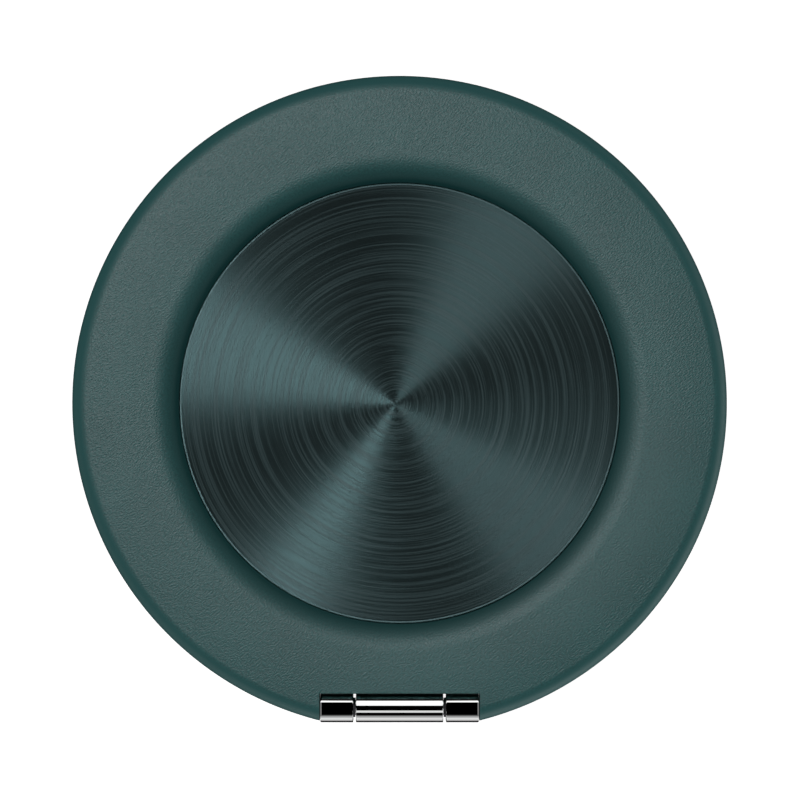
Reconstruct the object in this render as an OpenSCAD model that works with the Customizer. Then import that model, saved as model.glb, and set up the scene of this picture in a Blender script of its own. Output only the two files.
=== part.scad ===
// Folding magnetic phone stand: two thin round leaves joined by a double-shaft friction hinge.
// It lies folded with its phone face down at Z = 0, +Z up, and the hinge is at -Y. Millimetres.
// The base leaf is below and grips the phone; the stand leaf is above and swings out as the foot.
// A height called h is measured outward from a leaf's inner face, the face that meets the other
// leaf, so both leaves are drawn the same way up and the base leaf is then turned over.

/* [Leaves] */
// Diameter of both leaves
leaf_d = 60; // [59:0.25:61]
// Thickness of one leaf
leaf_t = 3; // [2.95:0.05:3.1]
// Gap between the folded leaves
leaf_gap = 0.2; // [0.16:0.02:0.3]
// Rounding of the metal rim beside the inner face
edge_round = 0.95; // [0.8:0.05:1]
// Diameter of the inner cover plates
cover_d = 56; // [55:0.25:56.5]
// Thickness of the inner cover plates
cover_t = 0.4; // [0.3:0.05:0.4]

/* [Leather skin] */
// Thickness of the leather
skin_t = 0.5; // [0.4:0.05:0.6]
// Rounding of the shoulder at the rim
shoulder_round = 1.24; // [1:0.02:1.4]
// Radius of the convex slope down to the spun disc
slope_round = 4.2; // [4:0.05:4.4]
// Width of that slope
slope_w = 2.6; // [2.4:0.05:2.7]
// Height of the leather's lower edge on the side of the leaf
wrap_h = 1.05; // [1.05:0.05:1.3]

/* [Spun disc] */
// Diameter of the spun disc
disc_d = 40.2; // [39.5:0.1:40.4]
// Thickness of the spun disc
disc_t = 1; // [0.8:0.05:1]
// Height of its face
disc_h = 2.55; // [2.5:0.05:2.7]
// Chamfer round its edge
disc_chamfer = 0.14; // [0.1:0.02:0.24]

/* [Magnets] */
// Inner diameter of the magnet ring
magnet_id = 46.4; // [46:0.1:47]
// Outer diameter of the magnet ring
magnet_od = 54.8; // [54:0.1:55]
// Thickness of the magnets
magnet_t = 1.2; // [1:0.05:1.2]
// Thickness of the steel yoke behind the magnets
yoke_t = 0.3; // [0.2:0.05:0.3]
// Thickness of the steel keeper in the stand leaf
keeper_t = 0.4; // [0.3:0.05:0.5]
// Number of arc magnets
magnet_count = 16; // [12:2:20]
// Angle left free of magnets at the hinge
magnet_break = 40; // [40:1:50]

/* [Phone side] */
// Outer diameter of the phone pad
pad_od = 57.2; // [56.5:0.1:57.4]
// Inner diameter of the phone pad
pad_id = 41; // [40.6:0.1:42]
// Thickness of the phone pad
pad_t = 0.6; // [0.5:0.05:0.6]
// How far the pad stands out of the metal
pad_proud = 0.15; // [0.1:0.01:0.2]
// Diameter of the centre plate
plate_d = 39.2; // [38:0.1:39.4]
// Thickness of the centre plate
plate_t = 0.5; // [0.4:0.05:0.5]
// How far the centre plate lies below the pad
plate_sunk = 0.5; // [0.45:0.05:0.6]

/* [Hinge] */
// Distance of the hinge axes from the centre of the leaves
hinge_out = 27.94; // [27.8:0.02:28]
// Depth of the hinge barrels
barrel_d = 2.61; // [2.5:0.01:2.66]
// Height above the shaft of the flat milled on a knuckle's outer side
knuckle_flat = 1.17; // [1.1:0.01:1.25]
// Length of the link between the knuckles
link_w = 8; // [7:0.25:8]
// Length of a knuckle
knuckle_w = 3; // [2.5:0.25:3]
// Gap between the link and a knuckle
barrel_gap = 0.25; // [0.24:0.01:0.3]
// Chamfer on the ends of the knuckles and the link
end_chamfer = 0.12; // [0.08:0.02:0.14]
// Diameter of the shafts
shaft_d = 1.2; // [1:0.05:1.2]
// Width of the notch in the leaves
notch_w = 14.62; // [14.6:0.02:15]
// Distance of the notch's wall from the centre of the leaves
notch_y = 26.55; // [26.4:0.01:26.56]

/* [Bracket] */
// Thickness of the hinge brackets
bracket_t = 0.8; // [0.7:0.05:0.8]
// Distance of the bracket's back edge from the centre of the leaves
bracket_y = 21.6; // [21.5:0.05:22]
// Spacing of the three bracket screws
screw_pitch = 5.2; // [4.8:0.1:5.4]
// Diameter of the screws
screw_d = 1.4; // [1.2:0.1:1.4]

/* [Hidden] */
$fn = 180;
small_fn = 48;

eps = 0.05;                 // how far a cut runs past the face it opens
run_on = 1;                 // extra length of a cut that goes right through
seat_gap = 0.05;            // assembly clearance round plates, pads and tangs
film_t = 0.1;               // adhesive film under the covers and the centre plate
foam_t = 0.15;              // adhesive pad under the spun disc
pad_inset = 1;              // how far the round adhesive pads stay inside their discs
film_inset = 0.2;           // how far the cover films stay inside the rings
ring_slack = 0.2;           // room round the steel and magnet rings
pocket_gap = 0.1;           // room round the spun disc

leaf_r = leaf_d / 2;
cover_r = cover_d / 2;
axis_h = leaf_t / 2;
disc_r = disc_d / 2;
pocket_r = disc_r + pocket_gap;
slope_r = pocket_r + slope_w;
floor_h = disc_h - disc_t - foam_t;
floor_t = 0.6;
phone_edge_round = 0.85;
metal_top_h = leaf_t - pad_proud;
pad_floor_h = leaf_t - pad_t;
plate_top_h = leaf_t - plate_sunk;
plate_floor_h = plate_top_h - plate_t - film_t;
steel_h = cover_t + film_t;
magnet_h = steel_h + yoke_t;
magnet_step = (360 - magnet_break) / magnet_count;
magnet_slit = 0.4;
pad_round = 0.2;
pad_notch_gap = 0.1;        // how far the phone pad stays off the notch
plate_chamfer = 0.12;
well_r = 19.5;              // hollow behind the centre of each leaf

barrel_r = barrel_d / 2;
knuckle_x = link_w / 2 + barrel_gap;
hinge_x = knuckle_x + knuckle_w;
lower_axis_z = axis_h;
upper_axis_z = leaf_t + leaf_gap + axis_h;
bracket_h = steel_h;
bracket_top_h = bracket_h + bracket_t;
bracket_x = hinge_x;
cover_cut_y = 26.05;        // straight edge of the covers beside the hinge
bracket_front_y = 25.65;    // front of the bracket's pocket, behind the notch's wall
bracket_slack = 0.1;        // room behind the bracket
tang_h = 0.1;
tang_root = 0.5;            // how far a tang reaches into its knuckle
tang_lap = 0.5;             // how far a tang laps the plate
shaft_r = shaft_d / 2;
cap_r = 0.95;
cap_t = 0.3;
washer_r = 0.825;
washer_t = 0.2;
link_bore_r = 1;
running_gap = 0.03;
clip_count = 4;
clip_w = 1.8;
clip_pitch = 1.95;
clip_slit = 0.25;
key_w = 0.3;
key_reach = 1.2;
key_lap = 0.1;              // how far a clip's key is sunk in its ring
screw_r = screw_d / 2;
screw_y = 23.55;
screw_bite = 0.85;          // length of a screw beyond the bracket
screw_end_h = bracket_top_h + screw_bite;
head_r = 1.15;
head_t = head_r - screw_r;
slot_l = 1.3;
slot_w = 0.28;
slot_depth = 0.25;
dot_r = 1.5;
dot_at = 15.5;
dot_proud = 0.12;
dot_sunk = 0.2;

anodised = [0.20, 0.30, 0.30];
leather = [0.25, 0.35, 0.35];
spun = [0.28, 0.40, 0.41];
polished = [0.80, 0.81, 0.82];

// ---- placing ----

// Puts a leaf-local shape on the base leaf, turned over so that its inner face is up
module on_base() {
    translate([0, 0, leaf_t]) mirror([0, 0, 1]) children();
}

// Puts a leaf-local shape on the stand leaf
module on_stand() {
    translate([0, 0, leaf_t + leaf_gap]) children();
}

// Draws a shape once on each side of the YZ plane
module both_sides() {
    children();
    mirror([1, 0, 0]) children();
}

// Extrudes a section drawn in Y and Z from x0 to x1
module along_x(x0, x1) {
    translate([x0, 0, 0]) rotate([90, 0, 90]) linear_extrude(x1 - x0) children();
}

// ---- shared shapes ----

module slab(r, h0, h1) {
    translate([0, 0, h0]) cylinder(r = r, h = h1 - h0);
}

module ring(r_in, r_out, h0, h1) {
    difference() {
        slab(r_out, h0, h1);
        slab(r_in, h0 - eps, h1 + eps);
    }
}

// A quarter of a disc, for the rounded corner of a section
module quarter(r) {
    intersection() {
        circle(r);
        square(r);
    }
}

// Section of a slab from its axis to its rim, with the upper outer edge rounded
module slab_section(r, h0, h1, round) {
    translate([0, h0]) square([r - round, h1 - h0]);
    translate([r - round, h0]) square([round, h1 - h0 - round]);
    translate([r - round, h1 - round]) quarter(round);
}

// The same section with the lower outer edge rounded, from h = 0
module foot_section(r, h1, round) {
    translate([0, h1]) mirror([0, 1]) slab_section(r, 0, h1, round);
}

// Section of the raised ring: a rounded shoulder outside and a convex slope inside
module crest_section(r, h0, h1, round, slope) {
    translate([slope_r, h0]) square([r - round - slope_r, h1 - h0]);
    translate([r - round, h0]) square([round, h1 - h0 - round]);
    translate([r - round, h1 - round]) quarter(round);
    intersection() {
        translate([slope_r, h1 - slope]) circle(slope);
        translate([pocket_r, h0]) square([slope_r - pocket_r, h1 - h0]);
    }
}

// The space cut out of a leaf for the hinge
module notch(h0, h1, grow = 0) {
    translate([-notch_w / 2 - grow, -leaf_r - run_on, h0])
        cube([notch_w + 2 * grow, leaf_r + run_on - notch_y + grow, h1 - h0]);
}

// A wedge at the hinge, which opens the steel and magnet rings there
module hinge_wedge(h0, h1) {
    reach = leaf_r + 5;
    half = magnet_break / 2;
    translate([0, 0, h0]) linear_extrude(h1 - h0)
        polygon([[0, 0], [-reach * tan(half), -reach], [reach * tan(half), -reach]]);
}

module open_ring(r_in, r_out, h0, h1) {
    difference() {
        ring(r_in, r_out, h0, h1);
        hinge_wedge(h0 - eps, h1 + eps);
    }
}

// A slab with a straight edge beside the hinge
module cut_slab(r, h0, h1, cut_y) {
    difference() {
        slab(r, h0, h1);
        translate([-r, -cut_y - r, h0 - eps]) cube([2 * r, r, h1 - h0 + 2 * eps]);
    }
}

// Everything cut into a frame from its inner face, except the pockets of the two rings
module inner_pockets(well_top_h) {
    cut_slab(cover_r + seat_gap, -eps, cover_t, cover_cut_y);
    slab(well_r, -eps, well_top_h);
    translate([-bracket_x - seat_gap, -bracket_front_y, -eps])
        cube([2 * (bracket_x + seat_gap), bracket_front_y - bracket_y + bracket_slack, bracket_top_h + eps]);
    both_sides() translate([knuckle_x - seat_gap, -notch_y - run_on, -eps])
        cube([knuckle_w + 2 * seat_gap, notch_y + run_on - bracket_front_y + eps, bracket_top_h + eps]);
    for (i = [-1:1])
        translate([i * screw_pitch, -screw_y, bracket_top_h - eps])
            cylinder(r = screw_r, h = screw_end_h + eps - bracket_top_h, $fn = small_fn);
}

// ---- plates, rings and films ----

module cover_plate() {
    cut_slab(cover_r, 0, cover_t, cover_cut_y - seat_gap);
}

module cover_film() {
    open_ring(magnet_id / 2 + film_inset, magnet_od / 2 - film_inset, cover_t, cover_t + film_t);
}

module steel_ring(h) {
    open_ring(magnet_id / 2, magnet_od / 2, steel_h, steel_h + h);
}

// A flat disc with a chamfered upper edge
module plated_disc(r, h0, h1, chamfer) {
    rotate_extrude()
        polygon([[0, h0], [r, h0], [r, h1 - chamfer], [r - chamfer, h1], [0, h1]]);
}

// ---- hinge pieces, drawn in one leaf ----

// Section of a knuckle: round, with a flat on its outer side
module knuckle_section() {
    intersection() {
        circle(barrel_r);
        translate([-barrel_r, -barrel_r]) square([barrel_d, barrel_r + knuckle_flat]);
    }
}

// A block about the shaft whose four end edges are chamfered at both ends
module chamfer_block(x0, x1, low, high) {
    c = end_chamfer;
    side = barrel_r;
    intersection() {
        translate([0, 0, low]) linear_extrude(high - low)
            polygon([
                [x0 + c, -side], [x1 - c, -side], [x1, c - side], [x1, side - c],
                [x1 - c, side], [x0 + c, side], [x0, side - c], [x0, c - side]
            ]);
        translate([0, side, 0]) rotate([90, 0, 0]) linear_extrude(2 * side)
            polygon([
                [x0 + c, low], [x1 - c, low], [x1, low + c], [x1, high - c],
                [x1 - c, high], [x0 + c, high], [x0, high - c], [x0, low + c]
            ]);
    }
}

// One knuckle, its tang through the notch's wall, and its half of the plate
module knuckle() {
    translate([0, -hinge_out, axis_h]) intersection() {
        along_x(knuckle_x, hinge_x) knuckle_section();
        chamfer_block(knuckle_x, hinge_x, -barrel_r, knuckle_flat);
    }
    tang_y = hinge_out - barrel_r + tang_root;
    translate([knuckle_x, -tang_y, tang_h])
        cube([knuckle_w, tang_y - cover_cut_y - seat_gap, bracket_top_h - tang_h]);
    translate([knuckle_x, -tang_y, bracket_h])
        cube([knuckle_w, tang_y - bracket_front_y + tang_lap, bracket_t]);
}

module hinge_bracket() {
    difference() {
        union() {
            both_sides() knuckle();
            translate([-bracket_x, -bracket_front_y + seat_gap, bracket_h])
                cube([2 * bracket_x, bracket_front_y - seat_gap - bracket_y, bracket_t]);
        }
        translate([0, -hinge_out, axis_h]) rotate([0, 90, 0]) {
            cylinder(r = shaft_r, h = 2 * hinge_x + run_on, center = true, $fn = small_fn);
            for (end = [-1, 1])
                translate([0, 0, end * (hinge_x - cap_t / 2 + eps / 2)])
                    cylinder(r = cap_r, h = cap_t + eps, center = true, $fn = small_fn);
        }
        for (i = [-1:1])
            translate([i * screw_pitch, -screw_y, 0]) screw_space();
    }
}

// The hole and countersink for one screw
module screw_space() {
    translate([0, 0, bracket_h - eps])
        cylinder(r = screw_r, h = bracket_t + 2 * eps, $fn = small_fn);
    translate([0, 0, bracket_h - eps])
        cylinder(r1 = head_r + eps, r2 = screw_r, h = head_t + eps, $fn = small_fn);
}

module bracket_screw() {
    difference() {
        union() {
            translate([0, 0, bracket_h])
                cylinder(r1 = head_r, r2 = screw_r, h = head_t, $fn = small_fn);
            translate([0, 0, bracket_h + head_t])
                cylinder(r = screw_r, h = screw_end_h - bracket_h - head_t, $fn = small_fn);
        }
        for (a = [0, 90])
            translate([0, 0, bracket_h]) rotate(a)
                cube([slot_l, slot_w, 2 * slot_depth], center = true);
    }
}

module bracket_screws() {
    color("dimgray") for (i = [-1:1])
        translate([i * screw_pitch, -screw_y, 0]) bracket_screw();
}

module shaft() {
    color("lightgray") translate([0, -hinge_out, axis_h]) rotate([0, 90, 0])
        cylinder(r = shaft_r, h = 2 * (hinge_x - cap_t), center = true, $fn = small_fn);
}

module end_caps() {
    color(polished) both_sides() translate([hinge_x - cap_t, -hinge_out, axis_h])
        rotate([0, 90, 0]) cylinder(r = cap_r, h = cap_t, $fn = small_fn);
}

module thrust_washers() {
    color("dimgray") both_sides() translate([knuckle_x - washer_t, -hinge_out, axis_h])
        rotate([0, 90, 0]) difference() {
            cylinder(r = washer_r, h = washer_t, $fn = small_fn);
            translate([0, 0, -eps])
                cylinder(r = shaft_r + running_gap / 2, h = washer_t + 2 * eps, $fn = small_fn);
        }
}

// ---- base leaf ----

module base_frame() {
    mid_h = leaf_t / 2;
    color(anodised) on_base() difference() {
        rotate_extrude() {
            foot_section(leaf_r, mid_h, edge_round);
            slab_section(leaf_r, mid_h, metal_top_h, phone_edge_round);
        }
        notch(-eps, leaf_t);
        inner_pockets(plate_floor_h - floor_t);
        open_ring(magnet_id / 2 - ring_slack, magnet_od / 2 + ring_slack, -eps, magnet_h + magnet_t);
        ring(pad_id / 2 - seat_gap, pad_od / 2 + seat_gap, pad_floor_h, leaf_t);
        slab(plate_d / 2 + seat_gap, plate_floor_h, leaf_t);
    }
}

module base_inner_cover() {
    color(anodised) on_base() cover_plate();
}

module base_cover_adhesive() {
    color("lightyellow") on_base() cover_film();
}

module yoke_ring() {
    color("slategray") on_base() steel_ring(yoke_t);
}

module magnet_ring() {
    first = -90 + magnet_break / 2;
    color("silver") on_base() for (i = [0:magnet_count - 1])
        rotate(first + i * magnet_step + magnet_slit / 2)
            translate([0, 0, magnet_h]) rotate_extrude(angle = magnet_step - magnet_slit)
                translate([magnet_id / 2, 0]) square([(magnet_od - magnet_id) / 2, magnet_t]);
}

module phone_pad() {
    color("darkslategray") on_base() difference() {
        rotate_extrude() difference() {
            slab_section(pad_od / 2, pad_floor_h, leaf_t, pad_round);
            translate([0, pad_floor_h - eps]) square([pad_id / 2, pad_t + 2 * eps]);
        }
        notch(pad_floor_h - eps, leaf_t + eps, pad_notch_gap);
    }
}

module base_center_plate() {
    color(anodised) on_base()
        plated_disc(plate_d / 2, plate_top_h - plate_t, plate_top_h, plate_chamfer);
}

module center_plate_adhesive() {
    color("lightyellow") on_base() slab(plate_d / 2 - pad_inset, plate_floor_h, plate_floor_h + film_t);
}

module lower_hinge_bracket() {
    color(polished) on_base() hinge_bracket();
}

module lower_bracket_screws() {
    on_base() bracket_screws();
}

module lower_shaft() {
    on_base() shaft();
}

module lower_end_caps() {
    on_base() end_caps();
}

module lower_thrust_washers() {
    on_base() thrust_washers();
}

// ---- link ----

// The bore that holds one shaft's clips, with its keyway towards the middle of the link
module link_bore(z, way) {
    translate([0, -hinge_out, z]) rotate([0, 90, 0])
        cylinder(r = link_bore_r, h = link_w + run_on, center = true, $fn = small_fn);
    translate([0, -hinge_out, z + way * key_reach / 2])
        cube([link_w + run_on, key_w, key_reach], center = true);
}

module link_block() {
    color(polished) difference() {
        intersection() {
            along_x(-link_w / 2, link_w / 2) union() {
                translate([-hinge_out, lower_axis_z]) circle(barrel_r);
                translate([-hinge_out, upper_axis_z]) circle(barrel_r);
                translate([-hinge_out - barrel_r, lower_axis_z])
                    square([barrel_d, upper_axis_z - lower_axis_z]);
            }
            translate([0, -hinge_out, 0])
                chamfer_block(
                    -link_w / 2, link_w / 2, lower_axis_z - barrel_r, upper_axis_z + barrel_r);
        }
        link_bore(lower_axis_z, 1);
        link_bore(upper_axis_z, -1);
    }
}

// One C-shaped spring clip about the X axis, with its key towards the middle of the link
module friction_clip(way) {
    rim = link_bore_r - running_gap / 2;
    key_root = rim - key_lap;
    key_tip = key_reach - running_gap;
    rotate([0, 90, 0]) difference() {
        cylinder(r = rim, h = clip_w, center = true, $fn = small_fn);
        cylinder(r = shaft_r + running_gap, h = clip_w + run_on, center = true, $fn = small_fn);
        translate([way * link_bore_r, 0, 0])
            cube([2 * link_bore_r, clip_slit, clip_w + run_on], center = true);
    }
    translate([0, 0, way * (key_root + key_tip) / 2])
        cube([clip_w, key_w - running_gap, key_tip - key_root], center = true);
}

module friction_clips(z, way) {
    color("darkgray") for (i = [0:clip_count - 1])
        translate([(i - (clip_count - 1) / 2) * clip_pitch, -hinge_out, z]) friction_clip(way);
}

module lower_friction_clips() {
    friction_clips(lower_axis_z, 1);
}

module upper_friction_clips() {
    friction_clips(upper_axis_z, -1);
}

// ---- stand leaf ----

module stand_frame() {
    color(anodised) on_stand() difference() {
        rotate_extrude() {
            foot_section(leaf_r, wrap_h, edge_round);
            translate([0, wrap_h]) square([pocket_r, floor_h - wrap_h]);
            crest_section(leaf_r - skin_t, wrap_h, leaf_t - skin_t,
                shoulder_round - skin_t, slope_round - skin_t);
        }
        notch(-eps, leaf_t);
        inner_pockets(floor_h - floor_t);
        open_ring(magnet_id / 2 - ring_slack, magnet_od / 2 + ring_slack, -eps, steel_h + keeper_t);
    }
}

module stand_inner_cover() {
    color(anodised) on_stand() difference() {
        cover_plate();
        dots(dot_r, -eps, dot_sunk);
    }
}

module stand_cover_adhesive() {
    color("lightyellow") on_stand() cover_film();
}

module keeper_ring() {
    color("slategray") on_stand() steel_ring(keeper_t);
}

module stand_leather() {
    color(leather) on_stand() difference() {
        rotate_extrude() difference() {
            crest_section(leaf_r, wrap_h, leaf_t, shoulder_round, slope_round);
            crest_section(leaf_r - skin_t, wrap_h - eps, leaf_t - skin_t,
                shoulder_round - skin_t, slope_round - skin_t);
        }
        notch(0, leaf_t + eps);
    }
}

module spun_disc() {
    color(spun) on_stand()
        plated_disc(disc_r, disc_h - disc_t, disc_h, disc_chamfer);
}

module disc_adhesive() {
    color("lightyellow") on_stand() slab(disc_r - pad_inset, floor_h, floor_h + foam_t);
}

module dots(r, h0, h1) {
    for (a = [45:90:315])
        rotate(a) translate([dot_at * sqrt(2), 0, 0]) slab(r, h0, h1, $fn = small_fn);
}

module bumper_dots() {
    color("black") on_stand() dots(dot_r, -dot_proud, dot_sunk);
}

module upper_hinge_bracket() {
    color(polished) on_stand() hinge_bracket();
}

module upper_bracket_screws() {
    on_stand() bracket_screws();
}

module upper_shaft() {
    on_stand() shaft();
}

module upper_end_caps() {
    on_stand() end_caps();
}

module upper_thrust_washers() {
    on_stand() thrust_washers();
}

base_frame();
base_inner_cover();
base_cover_adhesive();
yoke_ring();
magnet_ring();
phone_pad();
base_center_plate();
center_plate_adhesive();
lower_hinge_bracket();
lower_bracket_screws();
lower_shaft();
lower_end_caps();
lower_thrust_washers();
link_block();
lower_friction_clips();
upper_friction_clips();
stand_frame();
stand_inner_cover();
stand_cover_adhesive();
keeper_ring();
stand_leather();
spun_disc();
disc_adhesive();
bumper_dots();
upper_hinge_bracket();
upper_bracket_screws();
upper_shaft();
upper_end_caps();
upper_thrust_washers();
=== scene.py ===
"""Looks of the folding magnetic phone stand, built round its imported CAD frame. Lengths are in mm."""
import math

import bmesh
import bpy
import numpy as np
from mathutils import Matrix, Vector, noise


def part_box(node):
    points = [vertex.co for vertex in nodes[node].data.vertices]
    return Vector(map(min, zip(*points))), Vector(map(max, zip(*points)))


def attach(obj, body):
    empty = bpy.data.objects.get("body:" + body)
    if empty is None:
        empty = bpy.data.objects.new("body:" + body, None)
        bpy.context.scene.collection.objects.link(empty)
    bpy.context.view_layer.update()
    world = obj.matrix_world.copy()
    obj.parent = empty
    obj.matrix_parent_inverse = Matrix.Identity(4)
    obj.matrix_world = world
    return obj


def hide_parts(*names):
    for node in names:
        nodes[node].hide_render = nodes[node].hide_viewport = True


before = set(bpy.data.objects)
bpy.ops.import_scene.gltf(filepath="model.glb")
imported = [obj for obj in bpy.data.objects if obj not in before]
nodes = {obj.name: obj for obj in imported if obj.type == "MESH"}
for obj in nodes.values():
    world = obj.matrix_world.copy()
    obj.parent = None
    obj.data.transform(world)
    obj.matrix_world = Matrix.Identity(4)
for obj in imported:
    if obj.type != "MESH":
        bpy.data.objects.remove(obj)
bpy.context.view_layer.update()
scene = bpy.context.scene

MM = 0.001


# ---- sizes ----

def box_mm(node):
    """A node's lowest and highest corners in mm."""
    low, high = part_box(node)
    return low / MM, high / MM


leather_low, leather_high = box_mm("stand_leather")
disc_low, disc_high = box_mm("spun_disc")
link_low, link_high = box_mm("link_block")
shaft_high = {"upper": box_mm("upper_shaft")[1], "lower": box_mm("lower_shaft")[1]}
shaft_low = {"upper": box_mm("upper_shaft")[0], "lower": box_mm("lower_shaft")[0]}

LEAF_R = leather_high.x
CREST_Z = leather_high.z
WRAP_Z = leather_low.z              # lower edge of the leather on the side
SKIN_T = 0.5
SHOULDER_R = 1.24                   # rounding of the shoulder at the rim
SLOPE_R = 4.2                       # radius of the slope down to the disc
SLOPE_W = 2.6
DISC_R = disc_high.x
HOLE_R = DISC_R + 0.1               # the leather ends here, round the disc
SLOPE_START_R = HOLE_R + SLOPE_W
CROWN_R, CROWN = 24.0, 0.009        # the leather falls away slowly outside this radius
NOTCH_X = 7.31                      # half width of the notch for the hinge
NOTCH_Y = -26.58                    # wall of the notch
CUT_ROUND = 0.08                    # rounding of the leather where the notch cuts it
GRAIN_RELIEF = 0.004                # height of the leather's grain

DISC_CHAMFER = (0.14, 0.03)         # width and depth of the bright cut round the disc
RING_PITCH = 0.12                   # pitch and depth of the disc's turning marks
RING_DEPTH = 0.002
TURN = Vector((-0.38, -0.08))       # centre of the turning marks, a little off the disc's own
TOOL_LEAN = 0.24                    # slope of the ridges that the tool leaves
RIDGES = (0.016, 0.008)             # height of the ridges at the turning centre and from 7 mm out
ROUGH_SWING = 0.03                  # how far the gloss varies from ring to ring
LINE_METAL = 0.55                   # how metallic the dull lines between the rings are

BARREL_R = (link_high.y - link_low.y) / 2
HINGE_Y = (link_high.y + link_low.y) / 2
AXIS_Z = {leaf: (shaft_high[leaf].z + shaft_low[leaf].z) / 2 for leaf in ("upper", "lower")}
SHAFT_R = (shaft_high["upper"].z - shaft_low["upper"].z) / 2
OUTER_CHAMFER = (0.13, 0.02)        # length and depth of the chamfer at the hinge's two ends
INNER_CHAMFER = (0.05, 0.05)        # and at its gaps
KNUCKLE_W = 3.0
KNUCKLE_FLAT = 1.17                 # height above the axis of the flat on a knuckle's outer side
LINK_BORE_R = 1.0
KEY_W, KEY_REACH = 0.3, 1.2
CAP_R, CAP_T = 0.95, 0.3
HALF_LEAF = 1.5                     # from a hinge axis to its leaf's inner face
PLATE_H = (0.5, 1.3)                # the bracket's plate, above the leaf's inner face
TANG_H = (0.1, 1.3)
PLATE_FRONT_Y, TANG_FRONT_Y, TANG_STEP_Y, TANG_BACK_Y = -25.6, -27.135, -26.1, -25.15
SCREW_Y, SCREW_PITCH, SCREW_R, HEAD_R = -23.55, 5.2, 0.7, 1.2


# ---- mesh tools ----

def smooth(obj, angle):
    """Smooth shading, except across edges sharper than the angle."""
    obj.data.shade_smooth()
    obj.data.set_sharp_from_angle(angle=math.radians(angle))


def mesh_object(name, points, faces, smooth_angle=35):
    mesh = bpy.data.meshes.new(name)
    mesh.from_pydata([tuple(p) for p in np.asarray(points) * MM], [], faces)
    bm = bmesh.new()
    bm.from_mesh(mesh)
    bmesh.ops.remove_doubles(bm, verts=bm.verts, dist=1e-8)
    bmesh.ops.recalc_face_normals(bm, faces=bm.faces)
    bm.to_mesh(mesh)
    bm.free()
    obj = bpy.data.objects.new(name, mesh)
    scene.collection.objects.link(obj)
    smooth(obj, smooth_angle)
    return obj


def closed_grid(name, columns, smooth_angle):
    """A ring-shaped solid. Each column is one closed section, and the last one meets the first."""
    size = len(columns[0])
    faces = []
    for i in range(len(columns)):
        a, b = i * size, (i + 1) % len(columns) * size
        for j in range(size):
            k = (j + 1) % size
            faces.append((a + j, b + j, b + k, a + k))
    return mesh_object(name, np.concatenate([np.asarray(c) for c in columns]), faces, smooth_angle)


def lofted(name, loops, smooth_angle=40):
    """A solid through loops of equal length, with flat ends."""
    size = len(loops[0])
    last = (len(loops) - 1) * size
    faces = [tuple(range(size)), tuple(range(last, last + size))]
    for a in range(0, last, size):
        for j in range(size):
            k = (j + 1) % size
            faces.append((a + j, a + k, a + size + k, a + size + j))
    return mesh_object(name, [p for loop in loops for p in loop], faces, smooth_angle)


def arc(cx, cy, r, start, end, steps):
    """Points on an arc, angles in degrees, both ends included."""
    angles = np.radians(np.linspace(start, end, steps + 1))
    return [(cx + r * math.cos(a), cy + r * math.sin(a)) for a in angles]


def cone_z(name, sections, x=0.0, y=0.0, segments=48):
    """A solid about a vertical axis through (height, radius) sections."""
    circle = arc(0, 0, 1, 0, 360, segments)[:-1]
    return lofted(name, [[(x + r * c, y + r * s, z) for c, s in circle] for z, r in sections])


def rod_x(name, x0, x1, z, r, segments=96):
    """A rod along X about a hinge axis."""
    circle = arc(HINGE_Y, z, r, 0, 360, segments)[:-1]
    return lofted(name, [[(x, y, z) for y, z in circle] for x in (x0, x1)])


def block(name, low, high):
    loops = [[(x, low[1], low[2]), (x, high[1], low[2]), (x, high[1], high[2]), (x, low[1], high[2])]
             for x in (low[0], high[0])]
    return lofted(name, loops)


def combine(body, other, operation):
    """Joins other to the body or cuts it out of it, and removes other."""
    modifier = body.modifiers.new(operation, "BOOLEAN")
    modifier.operation = operation
    modifier.solver = "EXACT"
    modifier.object = other
    evaluated = body.evaluated_get(bpy.context.evaluated_depsgraph_get())
    mesh = bpy.data.meshes.new_from_object(evaluated)
    body.modifiers.clear()
    body.data = mesh
    bpy.data.objects.remove(other)


# ---- leather ring ----

CREASE_TURN = math.radians(40)      # the way the leather's creases run
CREASE_L, CREASE_W = 0.55, 0.3      # length and width of the creases in the mesh
FINE_ALONG, FINE_ACROSS = 4.5, 8.0  # finer creases per mm, in the material
FINE_RELIEF, PORE_RELIEF = 0.035, 0.006
OUTLINE_STEP = 0.18                 # spacing of the ring's sections along the outline
SHOULDER_STEPS, FLAT_STEPS, SLOPE_STEPS = 16, 42, 16
FOOT_LIP = 0.09                     # how far the foot of the side is turned in


def grain(x, y):
    """Height of the leather's creases at a point, about -1 to 1."""
    along = x * math.cos(CREASE_TURN) + y * math.sin(CREASE_TURN)
    across = y * math.cos(CREASE_TURN) - x * math.sin(CREASE_TURN)
    sway = 0.6 * noise.noise(Vector((x / 2.3, y / 2.3, 7.3)))
    return 2 * noise.noise(Vector((along / CREASE_L, across / CREASE_W + sway, 1.7)))


def notch_distance(x, y):
    """How far a point of the leaf is from the notch."""
    dx, dy = abs(x) - NOTCH_X, y - NOTCH_Y
    if dx < 0:
        return max(dy, 0.0)
    return dx if dy <= 0 else math.hypot(dx, dy)


def edge_drop(distance, r):
    """How far an edge rounded to r has dropped at that distance inside its side."""
    d = min(max(distance, 0.0), r)
    return r - math.sqrt(max(r * r - (r - d) ** 2, 0.0))


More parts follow.
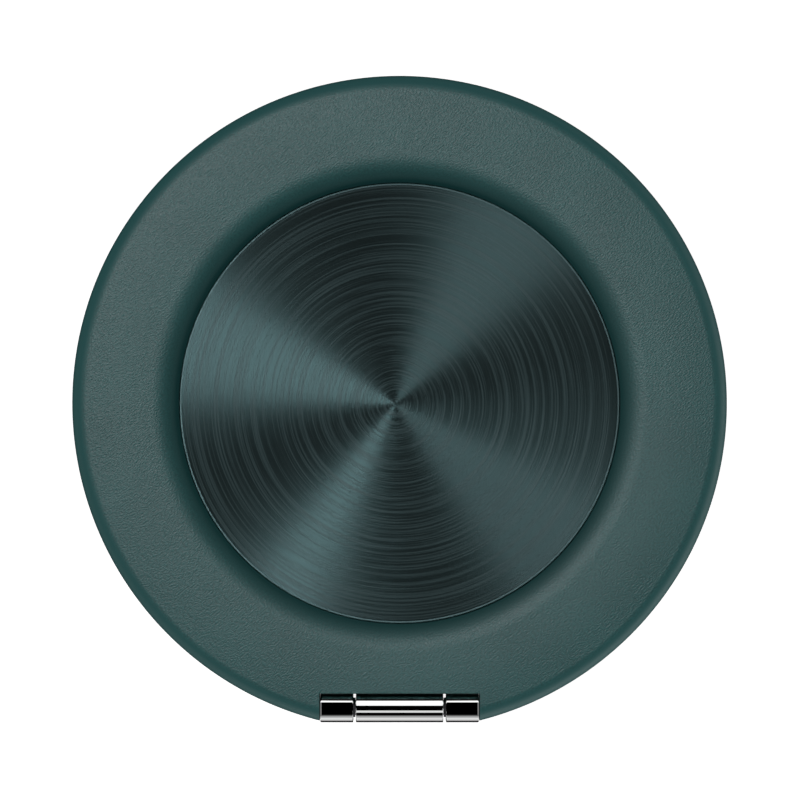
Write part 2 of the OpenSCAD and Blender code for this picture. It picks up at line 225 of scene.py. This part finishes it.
def leather_top(x, y):
    """Height of the leather's upper face outside the slope, with its rounded edges and its grain."""
    rim, cut = LEAF_R - math.hypot(x, y), notch_distance(x, y)
    drop = min(edge_drop(rim, SHOULDER_R) + edge_drop(cut, CUT_ROUND), CREST_Z - WRAP_Z - 0.3)
    inside = min(rim - SHOULDER_R + 0.2, cut - CUT_ROUND)
    fade = min(max(inside / 0.5, 0.0), 1.0)
    crown = CROWN * max(math.hypot(x, y) - CROWN_R, 0.0) ** 2
    return CREST_Z - drop - crown - GRAIN_RELIEF * (1 - 0.5 * grain(x, y)) * fade


def leather_under(r):
    """Height of the leather's hidden face, which is glued to the frame."""
    if r >= LEAF_R - SKIN_T:
        return WRAP_Z
    return max(CREST_Z - SKIN_T - edge_drop(LEAF_R - SKIN_T - r, SHOULDER_R - SKIN_T), WRAP_Z)


def leaf_outline(step):
    """Half of the leaf's outline from the middle of the notch to the far side.

    Each point comes with the angle, from -Y, at which its section meets the inner slope."""
    corner = math.asin(NOTCH_X / LEAF_R)
    rim_y = -LEAF_R * math.cos(corner)
    wall_angle, side_angle, free_angle = (math.radians(a) for a in (17, 31, 75))
    points = []
    for x in np.linspace(0, NOTCH_X, int(NOTCH_X / step)):
        points.append((x, NOTCH_Y, wall_angle * x / NOTCH_X))
    for share in np.linspace(0, 1, int((NOTCH_Y - rim_y) / step))[1:]:
        y = NOTCH_Y + (rim_y - NOTCH_Y) * share
        points.append((NOTCH_X, y, wall_angle + (side_angle - wall_angle) * share))
    for a in np.linspace(corner, math.pi, int((math.pi - corner) * LEAF_R / step))[1:]:
        share = min((a - corner) / (free_angle - corner), 1.0)
        angle = side_angle + (free_angle - side_angle) * share if share < 1 else a
        points.append((LEAF_R * math.sin(a), -LEAF_R * math.cos(a), angle))
    return points


def leather_section(px, py, angle):
    """One closed section of the leather, from a point of the outline to the hole round the disc."""
    ux, uy = math.sin(angle), -math.cos(angle)
    qx, qy = SLOPE_START_R * ux, SLOPE_START_R * uy
    length = math.hypot(px - qx, py - qy)
    cut = notch_distance(px, py) < 1e-6
    rim_r = math.hypot(px, py)
    points = []
    # the shoulder and the flat, closely spaced where the edge turns down
    shoulder = SHOULDER_R * 1.05
    for k in range(SHOULDER_STEPS + FLAT_STEPS + 1):
        if k <= SHOULDER_STEPS:
            run = shoulder * (k / SHOULDER_STEPS) ** 2
        else:
            run = shoulder + (length - shoulder) * (k - SHOULDER_STEPS) / FLAT_STEPS
        x, y = px + (qx - px) * run / length, py + (qy - py) * run / length
        points.append((x, y, leather_top(x, y)))
    # the slope, and under it the hidden side of the slope
    centre_z = CREST_Z - SLOPE_R
    slope_angle = math.degrees(math.asin(SLOPE_W / SLOPE_R))
    for r, z in arc(SLOPE_START_R, centre_z, SLOPE_R, 90, 90 + slope_angle, SLOPE_STEPS)[1:]:
        fade = (r - HOLE_R) / SLOPE_W
        points.append((r * ux, r * uy, z - GRAIN_RELIEF * (1 - 0.5 * grain(r * ux, r * uy)) * fade))
    under_r = SLOPE_R - SKIN_T
    under_angle = math.degrees(math.asin(SLOPE_W / under_r))
    for r, z in arc(SLOPE_START_R, centre_z, under_r, 90 + under_angle, 90, 4):
        points.append((r * ux, r * uy, z))
    # the hidden side of the flat, out to the frame's rim or to the cut
    inset = 0 if cut else SKIN_T / rim_r
    ex, ey = px * (1 - inset), py * (1 - inset)
    for k in range(1, 7):
        share = 1 - (1 - k / 7) ** 2
        x, y = qx + (ex - qx) * share, qy + (ey - qy) * share
        points.append((x, y, leather_under(math.hypot(x, y))))
    # the lower edge and the side
    foot_z = min(leather_under(rim_r), points[0][2] - 0.03) if cut else WRAP_Z
    points.append((ex, ey, foot_z))
    lip = 0 if cut else FOOT_LIP
    points.append((px * (1 - lip / rim_r), py * (1 - lip / rim_r), foot_z))
    for k in range(4):
        z = foot_z + lip + (points[0][2] - foot_z - lip) * k / 4
        points.append((px, py, z))
    return points


def leather_ring():
    right = leaf_outline(OUTLINE_STEP)
    left = [(-x, y, -angle) for x, y, angle in right[-2:0:-1]]
    return closed_grid("leather_ring", [leather_section(*place) for place in right + left], 50)


# ---- spun disc ----

def spun_face():
    """The disc, with its turning marks as real rings of uneven depth, and a chamfered edge."""
    cut_w, cut_h = DISC_CHAMFER
    flat_r = DISC_R - cut_w
    top = disc_high.z
    profile = [(0.02, top - RING_DEPTH)]
    for k, r in enumerate(np.arange(RING_PITCH, flat_r - 0.05, RING_PITCH)):
        uneven = 0.5 + 0.5 * noise.noise(Vector((k * 0.37, 2.1, 0.5)))
        profile.append((r, top - RING_DEPTH * (1 + uneven * (-1) ** k)))
    profile += [(flat_r, top), (DISC_R - 0.01, top - cut_h), (DISC_R, top - cut_h - 0.02)]
    profile += [(DISC_R, disc_low.z + 0.05), (DISC_R - 0.05, disc_low.z), (0.02, disc_low.z)]
    circle = arc(0, 0, 1, 0, 360, 256)[:-1]
    loops = []
    for r, z in profile:
        shift = TURN * (1 - r / DISC_R)
        loops.append([(shift.x + r * c, shift.y + r * s, z) for c, s in circle])
    return lofted("spun_face", loops, 15)


# ---- hinge ----

def knuckle_outline(inset, out=1):
    """A circle about the axis, cut by the flat on its outer side, in Y and Z."""
    flat = KNUCKLE_FLAT - inset
    r = BARREL_R - inset
    edge = math.degrees(math.asin(flat / r))
    return [(y, out * z) for y, z in arc(0, 0, r, 180 - edge, 360 + edge, 90)]


def link_outline(inset):
    """Two half circles about the two axes, joined by straight sides, in Y and Z."""
    high = (AXIS_Z["upper"] - AXIS_Z["lower"]) / 2
    r = BARREL_R - inset
    return arc(0, high, r, 0, 180, 60) + arc(0, -high, r, 180, 360, 60)


def barrel(name, outline, x0, x1, z, chamfer0, chamfer1):
    """A bar along X with chamfered ends."""
    edge = 0.02
    stations = [(x0, chamfer0[1]), (x0 + chamfer0[0], 0), (x0 + chamfer0[0] + edge, 0)]
    stations += [(x1 - chamfer1[0] - edge, 0), (x1 - chamfer1[0], 0), (x1, chamfer1[1])]
    loops = [[(x, HINGE_Y + p, z + q) for p, q in outline(inset)] for x, inset in stations]
    return lofted(name, loops, 30)


def link_body():
    """The middle segment, with a keyed bore for each shaft's clips."""
    low_z, high_z = AXIS_Z["lower"], AXIS_Z["upper"]
    ends = (INNER_CHAMFER, INNER_CHAMFER)
    body = barrel("link_body", link_outline, link_low.x, link_high.x, (low_z + high_z) / 2, *ends)
    x0, x1 = link_low.x - 1, link_high.x + 1
    for z, way in ((low_z, 1), (high_z, -1)):
        combine(body, rod_x("bore", x0, x1, z, LINK_BORE_R), "DIFFERENCE")
        reach = sorted((z, z + way * KEY_REACH))
        key = block("key", (x0, HINGE_Y - KEY_W / 2, reach[0]), (x1, HINGE_Y + KEY_W / 2, reach[1]))
        combine(body, key, "DIFFERENCE")
    smooth(body, 30)
    return body


def hinge_bracket(leaf, out):
    """Two knuckles and the plate that holds them. out is 1 in the upper leaf and -1 in the lower one."""
    axis_z = AXIS_Z[leaf]
    low, high = box_mm(leaf + "_hinge_bracket")
    inner_z = axis_z - out * HALF_LEAF

    def slab(heights, x0, x1, y0, y1):
        z0, z1 = sorted(inner_z + out * h for h in heights)
        return block("slab", (x0, y0, z0), (x1, y1, z1))

    def outline(inset):
        return knuckle_outline(inset, out)

    body = slab(PLATE_H, low.x, high.x, PLATE_FRONT_Y, high.y)
    ends = (OUTER_CHAMFER, INNER_CHAMFER)
    for x0 in (low.x, high.x - KNUCKLE_W):
        x1 = x0 + KNUCKLE_W
        combine(body, slab(PLATE_H, x0, x1, TANG_FRONT_Y, TANG_BACK_Y), "UNION")
        combine(body, slab(TANG_H, x0, x1, TANG_FRONT_Y, TANG_STEP_Y), "UNION")
        combine(body, barrel("knuckle", outline, x0, x1, axis_z, *ends), "UNION")
        ends = ends[::-1]
    combine(body, rod_x("bore", low.x - 1, high.x + 1, axis_z, SHAFT_R), "DIFFERENCE")
    for x in (low.x, high.x):
        combine(body, rod_x("seat", x - CAP_T, x + CAP_T, axis_z, CAP_R), "DIFFERENCE")
    for x in (-SCREW_PITCH, 0, SCREW_PITCH):
        sections = [(0, HEAD_R), (PLATE_H[0], HEAD_R), (PLATE_H[0] + HEAD_R - SCREW_R, SCREW_R), (2, SCREW_R)]
        sections = sorted((inner_z + out * h, r) for h, r in sections)
        combine(body, cone_z("hole", sections, x, SCREW_Y), "DIFFERENCE")
    body.name = leaf + "_bracket"
    smooth(body, 20)
    return body


# ---- materials ----

class Finish:
    """A Principled material, with short ways to add nodes. Textures work in mm on the object."""

    def __init__(self, name, color, roughness, metallic=0.0):
        self.material = bpy.data.materials.new(name)
        self.material.use_nodes = True
        self.tree = self.material.node_tree
        self.shader = self.tree.nodes["Principled BSDF"]
        self.set("Base Color", (*color, 1))
        self.set("Roughness", roughness)
        self.set("Metallic", metallic)
        coordinates = self.node("ShaderNodeTexCoord")
        self.place = self.vector("MULTIPLY", coordinates.outputs["Object"], (1 / MM,) * 3)

    def set(self, socket, value):
        self.shader.inputs[socket].default_value = value

    def link(self, value, socket):
        self.tree.links.new(value, self.shader.inputs[socket])

    def node(self, kind, inputs=(), **settings):
        """A new node. Its inputs are (name or index, value or output) pairs."""
        made = self.tree.nodes.new(kind)
        for key, value in settings.items():
            setattr(made, key, value)
        for key, value in inputs:
            if isinstance(value, bpy.types.NodeSocket):
                self.tree.links.new(value, made.inputs[key])
            else:
                made.inputs[key].default_value = value
        return made

    def math(self, operation, a, b=0.0):
        return self.node("ShaderNodeMath", ((0, a), (1, b)), operation=operation).outputs[0]

    def vector(self, operation, a, b=(0, 0, 0)):
        made = self.node("ShaderNodeVectorMath", ((0, a), (1, b)), operation=operation)
        return made.outputs["Value" if operation == "LENGTH" else "Vector"]

    def split(self, vector):
        return self.node("ShaderNodeSeparateXYZ", ((0, vector),)).outputs

    def join(self, x, y, z=0.0):
        return self.node("ShaderNodeCombineXYZ", ((0, x), (1, y), (2, z))).outputs[0]

    def noise(self, vector, scale, detail=2.0, roughness=0.5, distortion=0.0):
        inputs = (("Vector", vector), ("Scale", scale), ("Detail", detail), ("Roughness", roughness))
        return self.node("ShaderNodeTexNoise", (*inputs, ("Distortion", distortion))).outputs[0]

    def ramp(self, value, low, high, to_low=0.0, to_high=1.0):
        """The value's range low to high, eased into to_low to to_high and held outside it."""
        given = (("Value", value), ("From Min", low), ("From Max", high))
        wanted = (("To Min", to_low), ("To Max", to_high))
        return self.node("ShaderNodeMapRange", given + wanted, interpolation_type="SMOOTHSTEP").outputs[0]

    def mix(self, share, a, b):
        """Colour from a to b."""
        colors = [v if isinstance(v, bpy.types.NodeSocket) else (*v, 1) for v in (a, b)]
        inputs = ((0, share), (6, colors[0]), (7, colors[1]))
        return self.node("ShaderNodeMix", inputs, data_type="RGBA").outputs[2]

    def radius(self, vector):
        x, y, _ = self.split(vector)
        return self.vector("LENGTH", self.join(x, y))

    def bump(self, height):
        """Bump of a height in mm."""
        made = self.node("ShaderNodeBump", (("Height", height), ("Strength", 1.0), ("Distance", MM)))
        self.link(made.outputs[0], "Normal")


def leather_finish():
    """Grained leather, its creases darker partly as grain tone and partly as painted shade, with painted
    shade on the slope down to the disc, a smooth dyed rim that is lightened towards its outer edge as painted
    light, and near-black painted shade on the cut at the notch.
    """
    f = Finish("leather_skin", (0.01, 0.05, 0.048), 0.5)
    f.set("Specular IOR Level", 0.5)
    radius = f.radius(f.place)
    turn = (("Vector", f.place), ("Angle", -CREASE_TURN))
    turned = f.node("ShaderNodeVectorRotate", turn, rotation_type="Z_AXIS")
    along, across, _ = f.split(turned.outputs[0])
    sway = f.math("MULTIPLY", f.noise(f.place, 0.9, 1.0), 2.0)
    crease_x = f.math("MULTIPLY", along, FINE_ALONG)
    crease_y = f.math("ADD", f.math("MULTIPLY", across, FINE_ACROSS), sway)
    creases = f.noise(f.join(crease_x, crease_y), 1.0, 0.5, 0.5, 0.2)
    pores = f.noise(f.place, 7.0, 2.0)
    cloud = f.noise(f.place, 0.15, 2.0)
    rim = LEAF_R - SHOULDER_R
    # the grain is smoothed out at the rim and beside the disc
    to_rim = f.ramp(radius, rim - 0.1, rim + 0.35, 1.0, 0.04)
    from_disc = f.ramp(radius, HOLE_R + 0.3, HOLE_R + 2.2, 0.1, 1.0)
    relief = f.math("ADD", f.math("MULTIPLY", creases, FINE_RELIEF), f.math("MULTIPLY", pores, PORE_RELIEF))
    f.bump(f.math("MULTIPLY", relief, f.math("MULTIPLY", to_rim, from_disc)))
    # low parts of the creases take a darker colour: partly the grain's own tone, partly painted shade in the
    # creases, over a random cloudy tone
    tone = f.math("ADD", f.math("MULTIPLY", cloud, 0.25), f.math("MULTIPLY", creases, 0.75))
    face = f.mix(f.ramp(tone, 0.3, 0.7), (0.0120, 0.066, 0.0640), (0.0195, 0.106, 0.1025))
    # the leather darkens down the slope towards the disc: painted shade, not a change in the leather
    face_with_painted_shade = f.mix(f.ramp(radius, HOLE_R, SLOPE_START_R - 0.3), (0.0060, 0.045, 0.044), face)
    # the rim band has a smooth, saturated edge dye, and its colour is lightened towards the outer edge as
    # painted light
    rim_dye_and_painted_light = f.mix(f.ramp(radius, rim + 0.5, LEAF_R), (0.0135, 0.084, 0.082), (0.0155, 0.096, 0.093))
    edge = f.mix(f.ramp(radius, rim + 0.1, rim + 0.5), face_with_painted_shade, rim_dye_and_painted_light)
    # the leather's cut wall at the notch is coloured near black: painted shade in the narrow gap beside the
    # hinge
    x, y, _ = f.split(f.place)
    beside = f.math("SUBTRACT", f.math("ABSOLUTE", x), NOTCH_X)
    cut = f.math("MAXIMUM", beside, f.math("SUBTRACT", y, NOTCH_Y))
    f.link(f.mix(f.ramp(cut, 0.01, 0.05), (0.002, 0.004, 0.004), edge), "Base Color")
    gloss = f.ramp(radius, rim - 0.2, rim + 0.4, 0.49, 0.54)
    f.link(f.math("ADD", gloss, f.ramp(pores, 0.3, 0.7, 0.04, -0.04)), "Roughness")
    return f.material


def turned_finish(name, dark, light, roughness, anisotropy, turn=Vector((0, 0)), lean=0.0):
    """Metal turned on a lathe. Its marks run round the turning centre, so its gloss spreads outward.

    The marks are centred on turn in the middle, and on the disc at its edge."""
    f = Finish(name, light, roughness, 1.0)
    share = f.math("DIVIDE", f.radius(f.place), DISC_R)
    centre = f.vector("SCALE", (turn.x, turn.y, 0))
    f.tree.links.new(f.math("SUBTRACT", 1.0, share), centre.node.inputs["Scale"])
    x, y, _ = f.split(f.vector("SUBTRACT", f.place, centre))
    flat = f.join(x, y)
    outward = f.vector("NORMALIZE", flat)
    radius = f.vector("LENGTH", flat)
    ux, uy, _ = f.split(outward)
    f.link(outward, "Tangent")
    f.set("Anisotropic", anisotropy)

    def rings(drift, scale, detail):
        """Noise that runs round the centre and changes slowly on the way."""
        way = [f.math("MULTIPLY", u, drift) for u in (ux, uy)]
        return f.noise(f.join(radius, *way), scale, detail, 0.6)

    broad = rings(0.5, 1.5, 2.0)
    lines = f.ramp(rings(0.12, 6.0, 3.0), 0.38, 0.72)
    streaks = f.math("ADD", f.math("MULTIPLY", broad, 0.3), f.math("MULTIPLY", lines, 0.7))
    f.link(f.mix(f.ramp(streaks, 0.2, 0.8), dark, light), "Base Color")
    f.link(f.ramp(streaks, 0.2, 0.8, roughness - ROUGH_SWING, roughness + ROUGH_SWING), "Roughness")
    f.link(f.ramp(lines, 0.0, 1.0, 1.0, LINE_METAL), "Metallic")
    ridges = f.math("MULTIPLY", lines, f.ramp(radius, 0.5, 7.0, *RIDGES))
    f.bump(f.math("SUBTRACT", ridges, f.math("MULTIPLY", radius, lean)))
    return f.material


def cut_edge_finish():
    """The bright cut round the disc."""
    f = Finish("cut_edge", (0.12, 0.20, 0.21), 0.5, 1.0)
    f.link(f.mix(f.noise(f.place, 0.8), (0.09, 0.15, 0.16), (0.13, 0.22, 0.23)), "Base Color")
    f.link(f.ramp(f.noise(f.place, 6.0), 0.3, 0.7, 0.42, 0.55), "Roughness")
    return f.material


def anodised_finish():
    f = Finish("anodised_alloy", (0.05, 0.115, 0.115), 0.36, 1.0)
    blast = f.noise(f.place, 14.0, 2.0, 0.6)
    f.bump(f.math("MULTIPLY", blast, 0.008))
    f.link(f.mix(f.noise(f.place, 0.25), (0.045, 0.105, 0.105), (0.055, 0.125, 0.125)), "Base Color")
    f.link(f.ramp(blast, 0.3, 0.7, 0.32, 0.40), "Roughness")
    return f.material


def chrome_finish():
    f = Finish("polished_chrome", (0.87, 0.88, 0.88), 0.03, 1.0)
    f.link(f.ramp(f.noise(f.place, 2.0, 3.0), 0.35, 0.75, 0.01, 0.03), "Roughness")
    return f.material


def steel_finish(name, color, roughness):
    """Machined metal with fine lines along X."""
    f = Finish(name, color, roughness, 1.0)
    x, y, z = f.split(f.place)
    lines = f.noise(f.join(f.math("MULTIPLY", x, 0.1), y, z), 7.0)
    f.link(f.ramp(lines, 0.3, 0.7, roughness - 0.05, roughness + 0.07), "Roughness")
    f.bump(f.math("MULTIPLY", lines, 0.002))
    return f.material


def rubber_finish(name, color, roughness):
    f = Finish(name, color, roughness)
    f.bump(f.math("MULTIPLY", f.noise(f.place, 9.0), 0.01))
    tones = [tuple(c * k for c in color) for k in (0.85, 1.15)]
    f.link(f.mix(f.noise(f.place, 0.4), *tones), "Base Color")
    return f.material


def film_finish():
    f = Finish("adhesive_film", (0.6, 0.58, 0.47), 0.6)
    f.link(f.mix(f.noise(f.place, 1.5), (0.55, 0.53, 0.42), (0.66, 0.64, 0.52)), "Base Color")
    return f.material


def dress(material, *pieces):
    """Gives the material to pieces, named CAD nodes or objects."""
    for piece in pieces:
        obj = nodes[piece] if isinstance(piece, str) else piece
        obj.data.materials.clear()
        obj.data.materials.append(material)


# ---- the pieces ----

def add(piece, body, node):
    """A new piece rides on its body and stands for one CAD node."""
    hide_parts(node)
    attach(piece, body)
    return piece


leather = add(leather_ring(), "stand", "stand_leather")
disc = add(spun_face(), "stand", "spun_disc")
link = add(link_body(), "link", "link_block")
upper = add(hinge_bracket("upper", 1), "stand", "upper_hinge_bracket")
lower = add(hinge_bracket("lower", -1), "base", "lower_hinge_bracket")

spun_tones = (0.046, 0.084, 0.088), (0.057, 0.104, 0.110)
plate_tones = (0.032, 0.068, 0.069), (0.048, 0.10, 0.102)
spun = turned_finish("spun_aluminium", *spun_tones, 0.35, 0.95, TURN, TOOL_LEAN)
plates = turned_finish("anodised_plate", *plate_tones, 0.34, 0.8)
dark_steel = steel_finish("dark_steel", (0.06, 0.06, 0.065), 0.35)
dress(leather_finish(), leather)
dress(spun, disc)
# the disc's chamfer, side and underside take its second material
disc.data.materials.append(cut_edge_finish())
for face in disc.data.polygons:
    middle = face.center / MM
    chamfered = middle.xy.length > DISC_R - DISC_CHAMFER[0]
    face.material_index = int(chamfered or middle.z < disc_high.z - 0.01)
dress(plates, "stand_inner_cover", "base_inner_cover", "base_center_plate")
dress(anodised_finish(), "stand_frame", "base_frame")
dress(chrome_finish(), link, upper, lower, "upper_end_caps", "lower_end_caps")
dress(rubber_finish("phone_pad", (0.012, 0.03, 0.03), 0.6), "phone_pad")
dress(rubber_finish("bumper_rubber", (0.012, 0.012, 0.012), 0.55), "bumper_dots")
dress(steel_finish("ground_steel", (0.55, 0.55, 0.56), 0.25), "upper_shaft", "lower_shaft")
dress(dark_steel, "upper_bracket_screws", "lower_bracket_screws")
dress(dark_steel, "upper_thrust_washers", "lower_thrust_washers")
dress(steel_finish("spring_steel", (0.35, 0.35, 0.37), 0.3), "upper_friction_clips", "lower_friction_clips")
dress(steel_finish("mild_steel", (0.45, 0.46, 0.48), 0.35), "yoke_ring", "keeper_ring")
dress(steel_finish("nickel_magnet", (0.62, 0.60, 0.56), 0.18), "magnet_ring")
dress(film_finish(), "base_cover_adhesive", "stand_cover_adhesive", "center_plate_adhesive", "disc_adhesive")


# ---- studio ----

FLOOR_Z = -3.3                      # just below the lowest that the unfolded leaf reaches
FLOOR_HALF = 2000
LAMP_DISTANCE = 1.2                 # metres
VIEW_W = 73.13                      # width of the view at the leather's height
VIEW_X, VIEW_Y = 0.04, 0.29
SKY_BRIGHT_SIDE = -60               # the way in which the horizon is brightest
# the sky's heights, as the sine of the elevation, and how bright it is there
SKY_LOW = [(-0.62, 0), (-0.5, 0.44), (-0.26, 0.71), (-0.05, 0.87)]
SKY_HIGH = [(0.16, 0.52), (0.32, 0.39), (0.47, 0.13), (0.56, 0)]
LENS, SENSOR = 300, 36              # focal length and sensor width


def floor():
    """A plain white floor that casts no light on the object, and can be seen through from below."""
    h = FLOOR_HALF
    corners = [(x, y, FLOOR_Z) for x, y in ((-h, -h), (h, -h), (h, h), (-h, h))]
    obj = mesh_object("floor", corners, [(0, 1, 2, 3)])
    f = Finish("pale_floor", (0.8, 0.8, 0.8), 0.9)
    f.set("Emission Color", (1, 1, 1, 1))
    f.set("Emission Strength", 0.9)
    clear = f.node("ShaderNodeBsdfTransparent").outputs[0]
    side = f.node("ShaderNodeNewGeometry").outputs["Backfacing"]
    one_sided = f.node("ShaderNodeMixShader", ((0, side), (1, f.shader.outputs[0]), (2, clear)))
    output = f.tree.nodes["Material Output"]
    f.tree.links.new(one_sided.outputs[0], output.inputs["Surface"])
    dress(f.material, obj)
    obj.visible_diffuse = obj.visible_glossy = obj.visible_transmission = obj.visible_shadow = False


def sky():
    """A pale horizon and a dark zenith. The camera itself sees plain white."""
    world = bpy.data.worlds.new("studio")
    scene.world = world
    world.use_nodes = True
    tree = world.node_tree
    background = tree.nodes["Background"]
    coordinates = tree.nodes.new("ShaderNodeTexCoord")
    parts = tree.nodes.new("ShaderNodeSeparateXYZ")
    tree.links.new(coordinates.outputs["Generated"], parts.inputs[0])
    height = tree.nodes.new("ShaderNodeMapRange")
    height.inputs["From Min"].default_value = -1
    tree.links.new(parts.outputs[2], height.inputs["Value"])
    ramp = tree.nodes.new("ShaderNodeValToRGB")
    tree.links.new(height.outputs[0], ramp.inputs[0])
    stops = ramp.color_ramp.elements
    levels = SKY_LOW + SKY_HIGH
    for _ in levels[2:]:
        stops.new(0.5)
    for stop, (z, level) in zip(stops, levels):
        stop.position, stop.color = (z + 1) / 2, (level, level, level, 1)
    tree.links.new(ramp.outputs[0], background.inputs["Color"])
    side = tree.nodes.new("ShaderNodeVectorMath")
    side.operation = "DOT_PRODUCT"
    a = math.radians(SKY_BRIGHT_SIDE)
    side.inputs[1].default_value = (math.cos(a), math.sin(a), 0)
    tree.links.new(coordinates.outputs["Generated"], side.inputs[0])
    strength = tree.nodes.new("ShaderNodeMapRange")
    for key, value in (("From Min", -0.8), ("From Max", 0.5), ("To Min", 0.25), ("To Max", 1.0)):
        strength.inputs[key].default_value = value
    tree.links.new(side.outputs["Value"], strength.inputs["Value"])
    tree.links.new(strength.outputs[0], background.inputs["Strength"])
    white = tree.nodes.new("ShaderNodeBackground")
    white.inputs["Color"].default_value = (1, 1, 1, 1)
    path = tree.nodes.new("ShaderNodeLightPath")
    seen = tree.nodes.new("ShaderNodeMixShader")
    tree.links.new(path.outputs["Is Camera Ray"], seen.inputs[0])
    tree.links.new(background.outputs[0], seen.inputs[1])
    tree.links.new(white.outputs[0], seen.inputs[2])
    tree.links.new(seen.outputs[0], tree.nodes["World Output"].inputs["Surface"])


def softbox(name, azimuth, zenith, wide, tall, radiance, only=(), but=(), tint=(1, 1, 1)):
    """A lamp aimed at the object, with its angles in degrees: tall is its size along the meridian.

    It lights only these pieces, or all but those."""
    lamp = bpy.data.lights.new(name, "AREA")
    lamp.shape = "RECTANGLE"
    lamp.size = 2 * LAMP_DISTANCE * math.tan(math.radians(wide / 2))
    lamp.size_y = 2 * LAMP_DISTANCE * math.tan(math.radians(tall / 2))
    lamp.energy = math.pi * lamp.size * lamp.size_y * radiance
    lamp.color = tint
    obj = bpy.data.objects.new(name, lamp)
    scene.collection.objects.link(obj)
    a, e = math.radians(azimuth), math.radians(zenith)
    away = Vector((math.cos(a) * math.sin(e), math.sin(a) * math.sin(e), math.cos(e)))
    side = Vector((-math.sin(a), math.cos(a), 0))
    turn = Matrix((side, away.cross(side), away)).transposed().to_4x4()
    obj.matrix_world = Matrix.Translation(away * LAMP_DISTANCE) @ turn
    obj.visible_camera = False
    if only or but:
        receivers = bpy.data.collections.new(name + "_receivers")
        for receiver in (*only, *but):
            receivers.objects.link(receiver)
        for entry in receivers.collection_objects:
            entry.light_linking.link_state = "INCLUDE" if only else "EXCLUDE"
        obj.light_linking.receiver_collection = receivers


def camera():
    lens = bpy.data.cameras.new("camera")
    lens.lens = LENS
    lens.sensor_width = SENSOR
    lens.clip_start = 0.01
    obj = bpy.data.objects.new("camera", lens)
    obj.location = Vector((VIEW_X, VIEW_Y, CREST_Z + VIEW_W * LENS / SENSOR)) * MM
    scene.collection.objects.link(obj)
    scene.camera = obj


floor()
sky()
softbox("left", 163, 28, 16, 16, 6.8, but=[leather])
softbox("front", 239, 28, 9, 16, 7.6, but=[leather])
softbox("back", 58, 28, 18, 16, 2.9, but=[leather])
softbox("right", 318, 28, 17, 16, 3.3, but=[leather])
softbox("leather_top", 130, 16, 24, 24, 11.0, only=[leather], tint=(0.98, 1.0, 1.02))
softbox("leather_rim", 310, 102, 130, 30, 1.2, only=[leather])
softbox("disc_top", 0, 0, 24, 24, 0.64, only=[disc], tint=(1.25, 1.0, 0.98))
softbox("hinge_back", 90, 46, 60, 50, 1.2, only=[link, upper])
softbox("hinge_front", 270, 27, 60, 17, 0.79, only=[link, upper])
for side, azimuth in (("left", 180), ("right", 0)):
    softbox("hinge_" + side, azimuth, 17, 40, 12, 0.22, only=[upper])
camera()
scene.view_settings.view_transform = "Standard"
